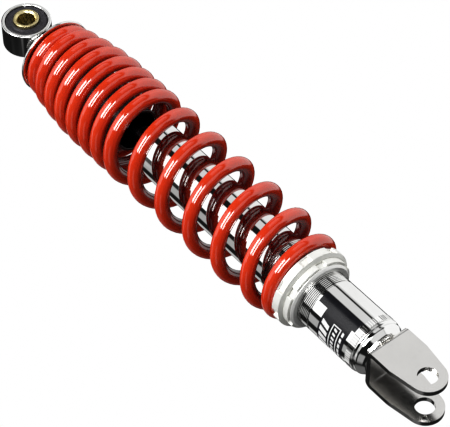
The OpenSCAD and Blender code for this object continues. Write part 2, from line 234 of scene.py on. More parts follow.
class Look:
    """A procedural material with one Principled shader, built on object coordinates in metres."""

    def __init__(self, name, **sockets):
        self.mat = bpy.data.materials.new(name)
        self.mat.use_nodes = True
        self.tree = self.mat.node_tree
        self.shader = self.tree.nodes["Principled BSDF"]
        for key, value in sockets.items():
            self.shader.inputs[key.replace("_", " ")].default_value = value
        self.place = self.node("ShaderNodeTexCoord").outputs["Object"]

    def node(self, kind, **settings):
        made = self.tree.nodes.new(kind)
        for key, value in settings.items():
            setattr(made, key, value)
        return made

    def link(self, source, node, socket):
        self.tree.links.new(source, node.inputs[socket])

    def noise(self, scale, detail=3.0, rough=0.5, stretch=None):
        made = self.node("ShaderNodeTexNoise")
        made.inputs["Scale"].default_value = scale
        made.inputs["Detail"].default_value = detail
        made.inputs["Roughness"].default_value = rough
        source = self.place
        if stretch:
            mapping = self.node("ShaderNodeMapping")
            mapping.inputs["Scale"].default_value = stretch
            self.link(source, mapping, "Vector")
            source = mapping.outputs["Vector"]
        self.link(source, made, "Vector")
        return made.outputs["Fac"]

    def spread(self, source, low, high, to_low=0.0, to_high=1.0):
        made = self.node("ShaderNodeMapRange")
        for key, value in zip(("From Min", "From Max", "To Min", "To Max"), (low, high, to_low, to_high)):
            made.inputs[key].default_value = value
        self.link(source, made, "Value")
        return made.outputs["Result"]

    def colour(self, source, *stops):
        ramp = self.node("ShaderNodeValToRGB")
        elements = ramp.color_ramp.elements
        while len(elements) < len(stops):
            elements.new(0.5)
        for element, (at, shade) in zip(elements, stops):
            element.position, element.color = at, (*shade, 1)
        self.link(source, ramp, "Fac")
        self.link(ramp.outputs["Color"], self.shader, "Base Color")
        return self

    def rough(self, source, low, high):
        self.link(self.spread(source, 0.3, 0.7, low, high), self.shader, "Roughness")
        return self

    def bump(self, source, depth, strength=1.0, coat=False):
        made = self.node("ShaderNodeBump")
        made.inputs["Strength"].default_value = strength
        made.inputs["Distance"].default_value = depth
        self.link(source, made, "Height")
        self.link(made.outputs["Normal"], self.shader, "Normal")
        if coat:
            self.link(made.outputs["Normal"], self.shader, "Coat Normal")
        return self

    def outward(self):
        """How far the surface faces away from the damper axis: 1 outward, -1 inward."""
        flat = self.node("ShaderNodeVectorMath", operation="MULTIPLY")
        self.tree.links.new(self.place, flat.inputs[0])
        flat.inputs[1].default_value = (1, 1, 0)
        unit = self.node("ShaderNodeVectorMath", operation="NORMALIZE")
        self.tree.links.new(flat.outputs["Vector"], unit.inputs[0])
        dot = self.node("ShaderNodeVectorMath", operation="DOT_PRODUCT")
        self.tree.links.new(unit.outputs["Vector"], dot.inputs[0])
        self.tree.links.new(self.node("ShaderNodeTexCoord").outputs["Normal"], dot.inputs[1])
        return dot.outputs["Value"]

    def paint_in_shade(self, source, low, high, shade):
        """Paints shade into the base colour: turns it towards the dark shade colour where source is low."""
        base = self.shader.inputs["Base Color"].links[0].from_socket
        mix = self.node("ShaderNodeMix", data_type="RGBA")
        self.tree.links.new(self.spread(source, low, high), mix.inputs["Factor"])
        colours = [socket for socket in mix.inputs if socket.type == "RGBA"]
        colours[0].default_value = (*shade, 1)
        self.tree.links.new(base, colours[1])
        self.link(next(o for o in mix.outputs if o.type == "RGBA"), self.shader, "Base Color")
        return self


def metal(name, dark, light, low, high, scale=90, depth=2e-6, stretch=None, grain=1800, metallic=1.0):
    look = Look(name, Metallic=metallic)
    look.colour(look.noise(scale, 4, 0.6), (0.3, dark), (0.7, light))
    fine = look.noise(grain, 2, 0.6, stretch)
    look.rough(fine, low, high)
    look.bump(fine, depth)
    return look.mat


CHROME = metal("chrome_plate", (0.87, 0.87, 0.86), (0.92, 0.92, 0.91), 0.03, 0.06, depth=3e-7)
CLEVIS = metal("clevis_chrome", (0.90, 0.89, 0.87), (0.94, 0.93, 0.91), 0.12, 0.18, depth=1.0e-6, grain=900)
STEEL = metal("bare_steel", (0.40, 0.40, 0.41), (0.52, 0.52, 0.53), 0.28, 0.45, depth=4e-6)
NUT = metal("plated_nut", (0.62, 0.62, 0.60), (0.74, 0.74, 0.73), 0.16, 0.26, depth=2e-6)
ZINC = metal("yellow_zinc", (0.72, 0.60, 0.30), (0.86, 0.76, 0.46), 0.20, 0.32, scale=260, depth=2e-6)
ALLOY = metal("ring_alloy", (0.86, 0.86, 0.82), (0.94, 0.94, 0.90), 0.40, 0.54, scale=160, depth=4e-6,
              grain=2600, metallic=0.3)
# Painted shade: the piston rod is chrome, and its near-black base colour stands in for the dark surroundings it
# reflects.
ROD_PAINTED_DARK = metal("rod_chrome_painted_dark", (0.09, 0.09, 0.10), (0.13, 0.13, 0.14), 0.10, 0.16, depth=3e-7, stretch=(1, 1, 8))
# Painted shade: near-black colour for the floor of the thread groove, standing in for the shade there.
GROOVE_SHADE_STEEL = metal("thread_root_painted_shade", (0.07, 0.07, 0.07), (0.13, 0.13, 0.13), 0.30, 0.42, depth=2e-6)
SINTER = metal("sintered_iron", (0.16, 0.16, 0.17), (0.30, 0.30, 0.31), 0.45, 0.65, scale=600, depth=1e-5)
BRONZE = metal("bush_bronze", (0.50, 0.32, 0.14), (0.66, 0.46, 0.24), 0.25, 0.38, depth=2e-6)
WELD = metal("weld_bead", (0.55, 0.54, 0.52), (0.84, 0.83, 0.80), 0.16, 0.32, scale=420, depth=3e-5,
             grain=700)
SATIN = metal("satin_plate", (0.84, 0.84, 0.82), (0.92, 0.92, 0.90), 0.30, 0.42, depth=3e-6, grain=2200,
              metallic=0.4)


def paint():
    look = Look("spring_powder_coat", Roughness=0.5, Coat_Weight=1.0, Coat_Roughness=0.02, Coat_IOR=1.95,
                Specular_IOR_Level=0.0)
    look.colour(look.noise(55, 3), (0.32, (0.66, 0.048, 0.013)), (0.68, (0.74, 0.062, 0.018)))
    # Painted shade: the coils' inward-facing sides and the gaps between turns are darkened in the base colour.
    look.paint_in_shade(look.outward(), -0.75, 0.30, (0.20, 0.012, 0.010))
    look.bump(look.noise(520, 2, 0.5), 3e-6, coat=True)
    return look.mat


def rubber(name, dark, light, rough_low, rough_high, scale=500, gloss=0.4):
    look = Look(name, Specular_IOR_Level=gloss)
    look.colour(look.noise(scale, 4), (0.35, dark), (0.65, light))
    fine = look.noise(2400, 3, 0.7)
    look.rough(fine, rough_low, rough_high)
    look.bump(fine, 1.5e-5)
    return look.mat


PAINT = paint()
BUSH_RUBBER = rubber("bush_rubber", (0.030, 0.028, 0.034), (0.050, 0.047, 0.056), 0.44, 0.58)
SEAL_RUBBER = rubber("seal_rubber", (0.012, 0.012, 0.013), (0.022, 0.022, 0.024), 0.4, 0.55)
BUMP_RUBBER = rubber("bump_foam", (0.020, 0.020, 0.020), (0.045, 0.045, 0.045), 0.7, 0.85, scale=1400)
COVER = rubber("cover_plastic", (0.022, 0.022, 0.024), (0.032, 0.032, 0.035), 0.22, 0.30, scale=200,
               gloss=1.0)
NYLON = rubber("nylon", (0.62, 0.58, 0.48), (0.74, 0.70, 0.60), 0.35, 0.5, scale=300)
FILM = rubber("label_film", (0.010, 0.010, 0.013), (0.017, 0.017, 0.021), 0.12, 0.20, scale=160)
PRINT = rubber("label_ink", (0.72, 0.72, 0.72), (0.84, 0.84, 0.84), 0.25, 0.35, scale=700)


# ---------------------------------------------------------------- upper eye

ring_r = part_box("eye_ring")[1].x / MM
ring_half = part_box("eye_ring")[1].y / MM
ring_bore = ring_r - 2
sleeve_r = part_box("eye_sleeve")[1].x / MM
sleeve_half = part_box("eye_sleeve")[1].y / MM
bore_r = frame["record"]["mounts"][0]["dims"]["r_mm"]
SEAM = radians(58)
SEAM_HALF = 0.25 / 13

eye = lathe("eye_ring_rolled", rounded([(ring_bore, -ring_half, 0.5), (ring_r, -ring_half, 0.75),
                                        (ring_r, ring_half, 0.75), (ring_bore, ring_half, 0.5)]),
            steps=120, start=SEAM + SEAM_HALF, sweep=2 * pi - 2 * SEAM_HALF, axis="y")
place(eye, "upper", "chrome", CHROME, nodes=("eye_ring",))

bush_in, bush_out, bush_half = sleeve_r + 0.03, ring_bore - 0.02, ring_half - 0.4
bush = lathe("eye_rubber_bush", rounded([
    (bush_in, -bush_half - 0.25, 0.25), (bush_in + 1.0, -bush_half - 0.25, 0.5),
    (bush_in + 1.9, -bush_half + 0.3, 0.5), (bush_out - 1.6, -bush_half + 0.3, 0.5),
    (bush_out - 1.0, -bush_half, 0.3), (bush_out, -bush_half + 0.9, 0.3),
    (bush_out, bush_half - 0.9, 0.3), (bush_out - 1.0, bush_half, 0.3),
    (bush_out - 1.6, bush_half - 0.3, 0.5), (bush_in + 1.9, bush_half - 0.3, 0.5),
    (bush_in + 1.0, bush_half + 0.25, 0.5), (bush_in, bush_half + 0.25, 0.25)],
    steps=3), axis="y")
place(bush, "upper", "bush_rubber", BUSH_RUBBER, nodes=("rubber_bushing",))

sleeve = lathe("eye_sleeve_turned", rounded([
    (bore_r, -sleeve_half + 0.9, 0.15), (bore_r + 0.9, -sleeve_half, 0.15), (sleeve_r, -sleeve_half, 0.35),
    (sleeve_r, sleeve_half, 0.35), (bore_r + 0.9, sleeve_half, 0.15),
    (bore_r, sleeve_half - 0.9, 0.15)], steps=3),
    axis="y")
place(sleeve, "eye_sleeve", "zinc_sleeve", ZINC, nodes=("eye_sleeve",))

nut_r, nut_top, nut_bottom = span("lock_nut")
boss_r = span("eye_boss")[0]
stem_r = 5.05


# The stub: a flared neck whose top is cut to the ring.
boss = lathe("eye_stub", rounded([(stem_r, 6, 0), (boss_r - 0.4, 6, 0), (boss_r - 0.4, 13.2, 0.8),
                                  (boss_r, 14.2, 0.3), (boss_r, nut_top, 0.25), (stem_r, nut_top, 0)],
                                 steps=3))
ring_tool = lathe("tool", [(0, -12), (ring_r + 0.02, -12), (ring_r + 0.02, 12), (0, 12)], axis="y")
cut(boss, ring_tool)
place(boss, "upper", "chrome", CHROME, nodes=("eye_boss",))


def saddle_weld():
    """A rippled bead along the line where the stub meets the eye ring."""
    path = []
    count = 120
    for i in range(count):
        a = 2 * pi * i / count
        x, y = (boss_r + 0.1) * cos(a), (boss_r + 0.1) * sin(a)
        depth = (ring_r ** 2 - x * x) ** 0.5 + 0.05
        out = Vector((cos(a), sin(a), 0))
        ripple = 0.85 + 0.16 * abs(sin(a * 17)) + 0.08 * noise.noise(Vector((x, y, 3)) * 0.9)
        path.append((Vector((x, y, -depth)), out, Vector((0, 0, 1)), ripple))
    return sweep("eye_weld_bead", path, sides=10, closed=True)


place(saddle_weld(), "upper", "steel", WELD, nodes=("eye_weld",))


def hex_nut(name, radius, top, bottom, hole, turn):
    corner = radius
    flat = corner * cos(pi / 6)
    outline = [(corner * cos(turn + k * pi / 3), corner * sin(turn + k * pi / 3)) for k in range(6)]
    points = [(x, y, -top) for x, y in outline] + [(x, y, -bottom) for x, y in outline]
    faces = [tuple(range(6)), tuple(range(6, 12))]
    faces += [(k, (k + 1) % 6, (k + 1) % 6 + 6, k + 6) for k in range(6)]
    nut = mesh_from(name, points, faces)
    bevel_in = (corner - flat) * 0.6
    tool = lathe("tool", [(0, top - 0.01), (flat - 0.1, top - 0.01), (corner + 0.1, top + bevel_in),
                          (corner + 0.1, bottom - bevel_in), (flat - 0.1, bottom + 0.01),
                          (0, bottom + 0.01)], steps=96)
    cut(nut, tool, "INTERSECT")
    cut(nut, lathe("tool", [(0, top - 1), (hole + 0.6, top - 1), (hole + 0.6, top), (hole, top + 0.6),
                            (hole, bottom - 0.6), (hole + 0.6, bottom), (hole + 0.6, bottom + 1),
                            (0, bottom + 1)],
                   steps=64))
    return nut


place(hex_nut("rod_lock_nut", nut_r / cos(radians(15)), nut_top, nut_bottom, stem_r, radians(15)),
      "upper", "plated_nut", NUT, nodes=("lock_nut",))

# Pressed cap: hat, flat brim and turned-down rim in one sheet.
cap_r, cap_top, cap_bottom = span("spring_cap")
SHEET, HAT = 1.5, 13.2
LIP = 0.3
brim = cap_bottom - LIP
cap = lathe("spring_cap_pressing", rounded([
    (stem_r, cap_top, 0.2), (HAT + SHEET, cap_top, 2.0), (HAT + SHEET, brim - SHEET, 0.6),
    (cap_r, brim - SHEET, 0.9), (cap_r, cap_bottom, 0.5), (cap_r - 1.3, cap_bottom, 0.3),
    (cap_r - 1.6, brim, 0.2), (HAT, brim, 0.8), (HAT, cap_top + SHEET, 0.8), (stem_r, cap_top + SHEET, 0.2)]))
place(cap, "upper", "chrome", CHROME, nodes=("spring_cap",))

# Dust cover with a rolled lip.
cover_r, cover_top, cover_bottom = span("dust_cover")
COVER_OUT, COVER_IN = 12.9, 11.6
cover = lathe("dust_cover_tube", rounded([
    (stem_r, cover_top, 0.2), (COVER_OUT, cover_top, 0.8), (COVER_OUT, cover_bottom - 2.2, 0.3),
    (cover_r, cover_bottom - 1.9, 0.2), (cover_r, cover_bottom, 0.45), (COVER_IN, cover_bottom, 0.35),
    (COVER_IN, cover_top + 1.5, 0.6), (stem_r, cover_top + 1.5, 0.2)]))
place(cover, "upper", "cover_plastic", COVER, nodes=("dust_cover",))

# ---------------------------------------------------------------- spring

WIRE_R = 4.0
PHASE = radians(-126)
SPRING_FIRST, SPRING_LAST = 0.3, 14.6
COIL_TOP, CLOSE_PITCH, MORE_PITCH = 31.2, 10.8, 12.2
COIL_R, TOP_NARROWING, FOOT_NARROWING = 24, 5.7, 3.1


def ramp_area(t, a, b):
    """Area under a ramp that rises from 0 at a to 1 at b and stays there."""
    if t <= a:
        return 0.0
    return (b - a) / 2 + t - b if t >= b else (t - a) ** 2 / (2 * (b - a))


def coil_depth(t):
    """Depth of the wire's centre after t turns: the pitch starts, grows and ends over three ramps."""
    depth = COIL_TOP + CLOSE_PITCH * ramp_area(t, 0.6, 1.6) + MORE_PITCH * ramp_area(t, 7.7, 8.7)
    return depth - (CLOSE_PITCH + MORE_PITCH) * ramp_area(t, 13.36, 14.16)


def coil_r(t):
    top = max(4.8 - max(t, 1), 0) / 3.8
    bottom = max(min(t, 14.1) - 12.4, 0) / 1.7
    return COIL_R - TOP_NARROWING * top ** 1.6 - FOOT_NARROWING * bottom ** 1.6


def wire_ring(t, r=WIRE_R):
    turn = PHASE - 2 * pi * t
    lean = atan2(coil_depth(t + 0.01) - coil_depth(t - 0.01), 0.04 * pi * coil_r(t))
    out = Vector((cos(turn), sin(turn), 0))
    along = Vector((-sin(turn), cos(turn), 0))
    up = along * sin(lean) + Vector((0, 0, cos(lean)))
    return out * coil_r(t) - Vector((0, 0, coil_depth(t))), out, up, r


def wire(name, first, last):
    count = max(2, round((last - first) * 56))
    path = [wire_ring(first + (last - first) * i / count) for i in range(count + 1)]
    edge = 0.6 / (2 * pi * 20)
    if first == SPRING_FIRST:
        path[:1] = [wire_ring(first, WIRE_R - 0.7), wire_ring(first + edge * 0.35, WIRE_R - 0.2),
                    wire_ring(first + edge, WIRE_R)]
    if last == SPRING_LAST:
        path[-1:] = [wire_ring(last - edge, WIRE_R), wire_ring(last - edge * 0.35, WIRE_R - 0.2),
                     wire_ring(last, WIRE_R - 0.7)]
    return sweep(name, path, sides=28)


# The spring is cut into step pieces above SPRING_CUT, whose keep shares add up to the travel (its upper turns give
# most), and a foot below it. The shares are only computed here; the lowest turns form the foot.
travel = next(j for j in frame["joints"] if j["name"] == "travel")["range_m"][1] / MM
SPRING_CUT = 11.7
STEP_TURNS = 0.45
STEP_KEEPS = (0.9, 0.8, 0.72, 0.65)
top_depth = brim
lower_edge = SPRING_CUT
gone = 0.0
for k, keep in enumerate(STEP_KEEPS + (None,)):
    upper_edge = SPRING_FIRST if keep is None else lower_edge - STEP_TURNS
    low = coil_depth(lower_edge)
    if keep is None:
        keep = 1 - (travel - gone) / (low - top_depth)
    part = wire("spring_turns_%d" % (len(STEP_KEEPS) - k + 1), upper_edge, lower_edge)
    place(part, "damper", "spring_red", PAINT, nodes=("coil_spring",), weighted=False)
    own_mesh(part)
    gone += (low - coil_depth(upper_edge)) * (1 - keep)
    lower_edge = upper_edge
foot = wire("spring_foot", SPRING_CUT, SPRING_LAST)
finish_mesh(foot, weighted=False)
foot.data.materials.append(PAINT)
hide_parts("coil_spring")
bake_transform(foot)

# ---------------------------------------------------------------- damper tube with its thread

tube_r, tube_top, tube_bottom = span("outer_tube")
UPPER_R, TUBE_IN = 15.0, 13.4
THREAD_FROM, THREAD_TURNS, PITCH, THREAD_DEPTH = 223.5, 36, 1.0, 0.5
THREAD_TO = THREAD_FROM + THREAD_TURNS * PITCH
root_r = tube_r - THREAD_DEPTH


def plain_tube():
    """The tube, turned down to the thread's root where the thread sits."""
    outer = [(UPPER_R, tube_top + 0.9), (UPPER_R, THREAD_FROM - 1.6), (UPPER_R, THREAD_FROM - 1.2),
             (root_r, THREAD_FROM - 0.7), (root_r, THREAD_FROM - 0.3), (root_r, THREAD_TO + 0.3),
             (root_r, THREAD_TO + 0.7), (tube_r, THREAD_TO + 1.0), (tube_r, THREAD_TO + 1.4),
             (tube_r, tube_bottom)]
    inner = rounded([(TUBE_IN, tube_bottom, 0), (TUBE_IN, tube_top, 0.3), (UPPER_R, tube_top, 0.5),
                     (UPPER_R, THREAD_FROM - 1.2, 0)], steps=4)[:-1]
    return lathe("damper_tube", inner + outer, steps=144)


def thread():
    """A right-hand helical ridge with a flat crest, which runs out at both ends."""
    points, faces = [], []
    steps = 96
    count = THREAD_TURNS * steps
    for i in range(count + 1):
        angle = 2 * pi * i / steps
        middle = THREAD_FROM + PITCH * i / steps
        fade = min(1.0, 0.05 + 2 * i / steps, 0.05 + 2 * (count - i) / steps)
        crest = tube_r - THREAD_DEPTH * (1 - fade)
        for r, d in ((root_r - 0.1, -0.32), (crest, -0.20), (crest, 0.20), (root_r - 0.1, 0.32)):
            points.append((r * cos(angle), r * sin(angle), -(middle + d * PITCH)))
    for i in range(count):
        for k in range(4):
            a, b = 4 * i + k, 4 * i + (k + 1) % 4
            faces.append((a, b, b + 4, a + 4))
    faces += [(0, 1, 2, 3), tuple(range(4 * count, 4 * count + 4))]
    return mesh_from("tube_thread", points, faces)


place(plain_tube(), "damper", "chrome", CHROME, nodes=("outer_tube",), weighted=False)
place(thread(), "damper", "chrome", CHROME, nodes=("outer_tube",), weighted=False)

# The floor of the groove: dull, with shade painted into its near-black colour.
root = lathe("tube_thread_root", [(root_r - 0.3, THREAD_FROM), (root_r + 0.02, THREAD_FROM),
                                  (root_r + 0.02, THREAD_TO), (root_r - 0.3, THREAD_TO)])
place(root, "damper", "steel", GROOVE_SHADE_STEEL, nodes=("outer_tube",))

# Knurled band.
band_top, band_bottom = span("crimp_collar")[1:]
TEETH = 72
columns = []
for i in range(TEETH * 4):
    peak = (0.0, 1.0, 1.0, 0.0)[i % 4]
    r = tube_r - 0.12 + 0.34 * peak
    columns.append((2 * pi * i / (TEETH * 4), [(tube_r - 0.3, band_top), (r, band_top + 0.35),
                                              (r, band_bottom - 0.35), (tube_r - 0.3, band_bottom)]))
band = columns_mesh("knurled_band", columns)
place(band, "damper", "chrome", CHROME, nodes=("crimp_collar",), weighted=False)

# Foot cup: a groove under the band, a full shoulder, and a flat floor on the clevis.
cup_bottom = span("base_cup")[2]
PLUG_TOP = 289
cup = lathe("foot_cup", rounded([
    (0, PLUG_TOP, 0), (TUBE_IN - 0.02, PLUG_TOP, 0.4), (TUBE_IN - 0.02, tube_bottom + 0.02, 0),
    (tube_r, tube_bottom + 0.02, 0.3), (tube_r, tube_bottom + 1.0, 0.4),
    (tube_r - 0.7, tube_bottom + 1.6, 0.4), (tube_r - 0.5, tube_bottom + 3.4, 1.6),
    (13.4, cup_bottom - 1.6, 1.4), (12.7, cup_bottom, 0.5), (0, cup_bottom, 0)], steps=5))
place(cup, "damper", "chrome", CHROME, nodes=("base_cup",))


def wrap(name, shapes, radius, cell=0.6):
    """Thin flat shapes laid on a cylinder, each an outline of (arc length from the label's edge, depth)."""
    work = bmesh.new()
    for outline in shapes:
        ring = [work.verts.new((s, 0, -d)) for s, d in outline]
        work.faces.new(ring)
    low = min(v.co.x for v in work.verts)
    high = max(v.co.x for v in work.verts)
    for k in range(1, int((high - low) / cell) + 1):
        bmesh.ops.bisect_plane(work, geom=work.verts[:] + work.edges[:] + work.faces[:],
                               plane_co=(low + k * cell, 0, 0), plane_no=(1, 0, 0))
    thick = bmesh.ops.extrude_face_region(work, geom=work.faces[:])
    for v in thick["geom"]:
        if isinstance(v, bmesh.types.BMVert):
            v.co.y = 1.0
    for v in work.verts:
        angle = LABEL_TURN + v.co.x / tube_r
        r = radius + LABEL_SKIN * v.co.y
        v.co = Vector((r * cos(angle), r * sin(angle), v.co.z)) * MM
    bmesh.ops.recalc_face_normals(work, faces=work.faces)
    mesh = bpy.data.meshes.new(name)
    work.to_mesh(mesh)
    work.free()
    obj = bpy.data.objects.new(name, mesh)
    bpy.context.scene.collection.objects.link(obj)
    return obj


LABEL_TURN = radians(-240)
LABEL_SKIN = 0.12
label_lo, label_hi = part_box("label_wrap")
flap_top, flap_bottom = -label_hi.z / MM, -label_lo.z / MM
FLAP_ABOVE, FLAP_BELOW = 6.4, 1.9
LABEL_ARC, FLAP_ARC = radians(114), radians(136)
label_top, label_bottom = flap_top + FLAP_ABOVE, flap_bottom - FLAP_BELOW
label_len = LABEL_ARC * tube_r
flap_len = FLAP_ARC * tube_r
label = wrap("label_film", [[
    (0, label_top), (label_len, label_top), (label_len, flap_top), (flap_len, flap_top),
    (flap_len, flap_bottom), (label_len, flap_bottom), (label_len, label_bottom), (0, label_bottom)]], tube_r)
place(label, "damper", "label", FILM, nodes=("label_wrap",))


def slanted(s, d, width, height, lean):
    return [(s, d + height), (s + lean, d), (s + lean + width, d), (s + width, d + height)]


def frame_bars(s, d, width, height, line):
    return [[(s, d), (s + width, d), (s + width, d + line), (s, d + line)],
            [(s, d + height - line), (s + width, d + height - line), (s + width, d + height),
             (s, d + height)],
            [(s, d + line), (s + line, d + line), (s + line, d + height - line), (s, d + height - line)],
            [(s + width - line, d + line), (s + width, d + line), (s + width, d + height - line),
             (s + width - line, d + height - line)]]


marks = []
for k in range(4):
    marks.append(slanted(label_len - 21 + 4.0 * k, label_top + 1.4, 2.5, 5.4, 1.5))
marks += frame_bars(label_len - 21, label_top + 8.2, 17.5, 5.6, 0.5)
for k in range(6):
    marks.append(slanted(label_len - 19.6 + 2.6 * k, label_top + 10.0, 1.3, 2.0, 0.5))
for k in range(5):
    marks.append(slanted(label_len - 20 + 3.4 * k, label_top + 15.1, 2.3, 1.3, 0.3))
ink = wrap("label_marks", marks, tube_r + LABEL_SKIN * 0.9, cell=0.7)
place(ink, "damper", "label", PRINT)

# ---------------------------------------------------------------- clevis

web_top = -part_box("clevis_bracket")[1].z / MM
ear_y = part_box("clevis_bracket")[1].y / MM
half_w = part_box("clevis_bracket")[1].x / MM
hole = frame["record"]["mounts"][1]
hole_depth, hole_r = -hole["pos_m"][2] / MM, hole["dims"]["r_mm"]
THICK, BEND, EAR_R = 3.0, 3.5, 10.0
bend_line = web_top + BEND
side_end = hole_depth - 14


def ear_outline():
    """Outline points from the bend's left end round the ear to its right end, then back along the bend."""
    touch = atan2(14, half_w) - acos(EAR_R / hypot(half_w, 14))
    points = []
    for k in range(8):
        points.append((-half_w, bend_line + (side_end - bend_line) * k / 8))
    touch_x, touch_d = EAR_R * cos(touch), hole_depth - EAR_R * sin(touch)
    for k in range(6):
        points.append((-half_w + (half_w - touch_x) * k / 6, side_end + (touch_d - side_end) * k / 6))
    for k in range(25):
        a = pi - touch + (2 * touch + pi) * k / 24
        points.append((EAR_R * cos(a), hole_depth - EAR_R * sin(a)))
    for k in range(1, 7):
        points.append((touch_x + (half_w - touch_x) * k / 6, touch_d + (side_end - touch_d) * k / 6))
    for k in range(1, 9):
        points.append((half_w, side_end + (bend_line - side_end) * k / 8))
    for k in range(1, 12):
        points.append((half_w - 2 * half_w * k / 12, bend_line))
    return points


def clevis_plate():
    outline = ear_outline()
    n = len(outline)
    first_top = n - 12
    top_row = list(range(first_top, n)) + [0]
    points, faces = [], []

    def layer(t):
        """Adds one skin of the sheet at depth t in its thickness, and returns its vertex numbers."""
        ears = {}
        for side in (-1, 1):
            rings = []
            for share in (0.0, 0.3, 0.65, 1.0):
                ring = []
                for x, d in outline:
                    away = Vector((x, d - hole_depth))
                    inner = away.normalized() * hole_r
                    p = inner.lerp(away, share)
                    ring.append(len(points))
                    points.append((p.x, side * (ear_y - t), -(hole_depth + p.y)))
                rings.append(ring)
            ears[side] = rings
        rows = []
        radius = BEND - t
        for side in (-1, 1):
            for k in range(1, 9):
                beta = pi / 2 * (1 - k / 8) if side < 0 else pi / 2 * k / 8
                if side > 0 and k == 8:
                    continue
                y = side * (ear_y - BEND + radius * sin(beta))
                d = web_top + BEND - radius * cos(beta)
                row = []
                for i in top_row:
                    row.append(len(points))
                    points.append((outline[i][0], y, -d))
                rows.append(row)
            if side < 0:
                row = []
                for i in top_row:
                    row.append(len(points))
                    points.append((outline[i][0], (ear_y - BEND), -(web_top + BEND - radius)))
                rows.append(row)
        left = [ears[-1][-1][i] for i in top_row]
        right = [ears[1][-1][i] for i in top_row]
        return ears, [left] + rows + [right]

    skins = [layer(0.0), layer(THICK)]
    for ears, rows in skins:
        for rings in ears.values():
            for a, b in zip(rings, rings[1:]):
                for i in range(n):
                    faces.append((a[i], a[(i + 1) % n], b[(i + 1) % n], b[i]))
        for a, b in zip(rows, rows[1:]):
            for i in range(12):
                faces.append((a[i], a[i + 1], b[i + 1], b[i]))
    (ears_a, rows_a), (ears_b, rows_b) = skins
    for side in (-1, 1):
        hole_a, hole_b = ears_a[side][0], ears_b[side][0]
        rim_a, rim_b = ears_a[side][-1], ears_b[side][-1]
        for i in range(n):
            j = (i + 1) % n
            faces.append((hole_a[i], hole_a[j], hole_b[j], hole_b[i]))
            if i < first_top:
                faces.append((rim_a[i], rim_a[j], rim_b[j], rim_b[i]))
    for k in range(len(rows_a) - 1):
        for end in (0, 12):
            faces.append((rows_a[k][end], rows_a[k + 1][end], rows_b[k + 1][end], rows_b[k][end]))
    return mesh_from("clevis_plate", points, faces)


clevis = clevis_plate()

# The small locating hole in the far ear, PEG_OUT from the bolt hole's centre.
PEG_R, PEG_OUT, PEG_TURN = 1.3, 7.6, radians(-131)
peg = lathe("tool", [(0, 8), (PEG_R, 8), (PEG_R, 20), (0, 20)], steps=32, axis="y")
peg_at = Vector((PEG_OUT * cos(PEG_TURN), 0, PEG_OUT * sin(PEG_TURN) - hole_depth)) * MM
peg.data.transform(Matrix.Translation(peg_at))
cut(clevis, peg)
bevel(clevis, 0.75, 4, 50)
place(clevis, "damper", "chrome", CLEVIS, nodes=("clevis_bracket",))


def foot_weld():
    """Two rippled beads in the corners between the cup and the clevis bends."""
    points, faces = [], []
    for side in (-1, 1):
        base = len(points)
        rings, sides = 40, 12
        for i in range(rings + 1):
            u = i / rings
            x = -4.5 + 9 * u
            lump = 1.25 * (1 - (2 * u - 1) ** 6) ** 0.5 + 0.02
            lump *= 0.86 + 0.16 * abs(sin(u * 22)) + 0.1 * noise.noise(Vector((x, side * 5, 1)))
            for k in range(sides):
                a = 2 * pi * k / sides
                points.append((x, side * (12.9 + lump * cos(a)), -(web_top + 0.15 + lump * sin(a))))
        for i in range(rings):
            for k in range(sides):
                a, b = base + i * sides + k, base + i * sides + (k + 1) % sides
                faces.append((a, b, b + sides, a + sides))
        faces.append(tuple(range(base, base + sides)))
        faces.append(tuple(range(base + rings * sides, base + (rings + 1) * sides)))
    return mesh_from("foot_weld_beads", points, faces)


place(foot_weld(), "damper", "steel", WELD, nodes=("base_weld",))

# ---------------------------------------------------------------- preload rings

RING_BORE = tube_r + 0.05
seat_r, seat_top, seat_bottom = span("seat_washer")
washer = lathe("seat_washer_disc", rounded([(RING_BORE, seat_top, 0.15), (seat_r, seat_top, 0.3),
                                            (seat_r, seat_bottom, 0.3),
                                            (RING_BORE, seat_bottom, 0.15)], steps=3))
place(washer, "spring_seat", "steel", SATIN, nodes=("seat_washer",))

adj_r, adj_top, adj_bottom = span("adjuster_ring")
STEP_R, ADJ_SLOT = 21.1, 2.0
shelf = adj_bottom - 1.0
adj_floor = adj_r - ADJ_SLOT
plain = [(RING_BORE, adj_top), (adj_floor, adj_top), (adj_r, adj_top), (adj_r, shelf), (adj_r, shelf),
         (STEP_R, adj_bottom), (RING_BORE, adj_bottom)]
slots = [(RING_BORE, adj_top), (adj_floor, adj_top), (adj_floor, adj_top), (adj_floor, shelf), (adj_r, shelf),
         (STEP_R, adj_bottom), (RING_BORE, adj_bottom)]
adjuster = slotted("adjuster_ring_slotted", plain, slots, 8, -99, 14.5)
bevel(adjuster, 0.28, 3, 25)
place(adjuster, "adjuster", "ring_alloy", ALLOY, nodes=("adjuster_ring",))

lock_r, lock_top, lock_bottom = span("lock_ring")
LOCK_SLOT = 1.5
lock_floor = lock_r - LOCK_SLOT
plain = [(RING_BORE, lock_top), (lock_floor, lock_top), (lock_r, lock_top), (lock_r, lock_bottom),
         (lock_floor, lock_bottom), (RING_BORE, lock_bottom)]
slots = [(RING_BORE, lock_top), (lock_floor, lock_top), (lock_floor, lock_top), (lock_floor, lock_bottom),
         (lock_floor, lock_bottom), (RING_BORE, lock_bottom)]
lock = slotted("lock_ring_slotted", plain, slots, 6, -83.5, 14.5)
bevel(lock, 0.3, 3, 25)
place(lock, "lock_ring", "ring_alloy", ALLOY, nodes=("lock_ring",))

lip_r, lip_top, lip_bottom = span("lock_washer")
lip = lathe("lock_lip", rounded([(RING_BORE, lip_top, 0.1), (lip_r, lip_top, 0.3),
                                 (lip_r, lip_bottom - 1, 0.3), (lip_r - 1, lip_bottom, 0.4),
                                 (RING_BORE, lip_bottom, 0.2)], steps=4))
place(lip, "lock_washer", "chrome", SATIN, nodes=("lock_washer",))

# ---------------------------------------------------------------- carried-over inner nodes

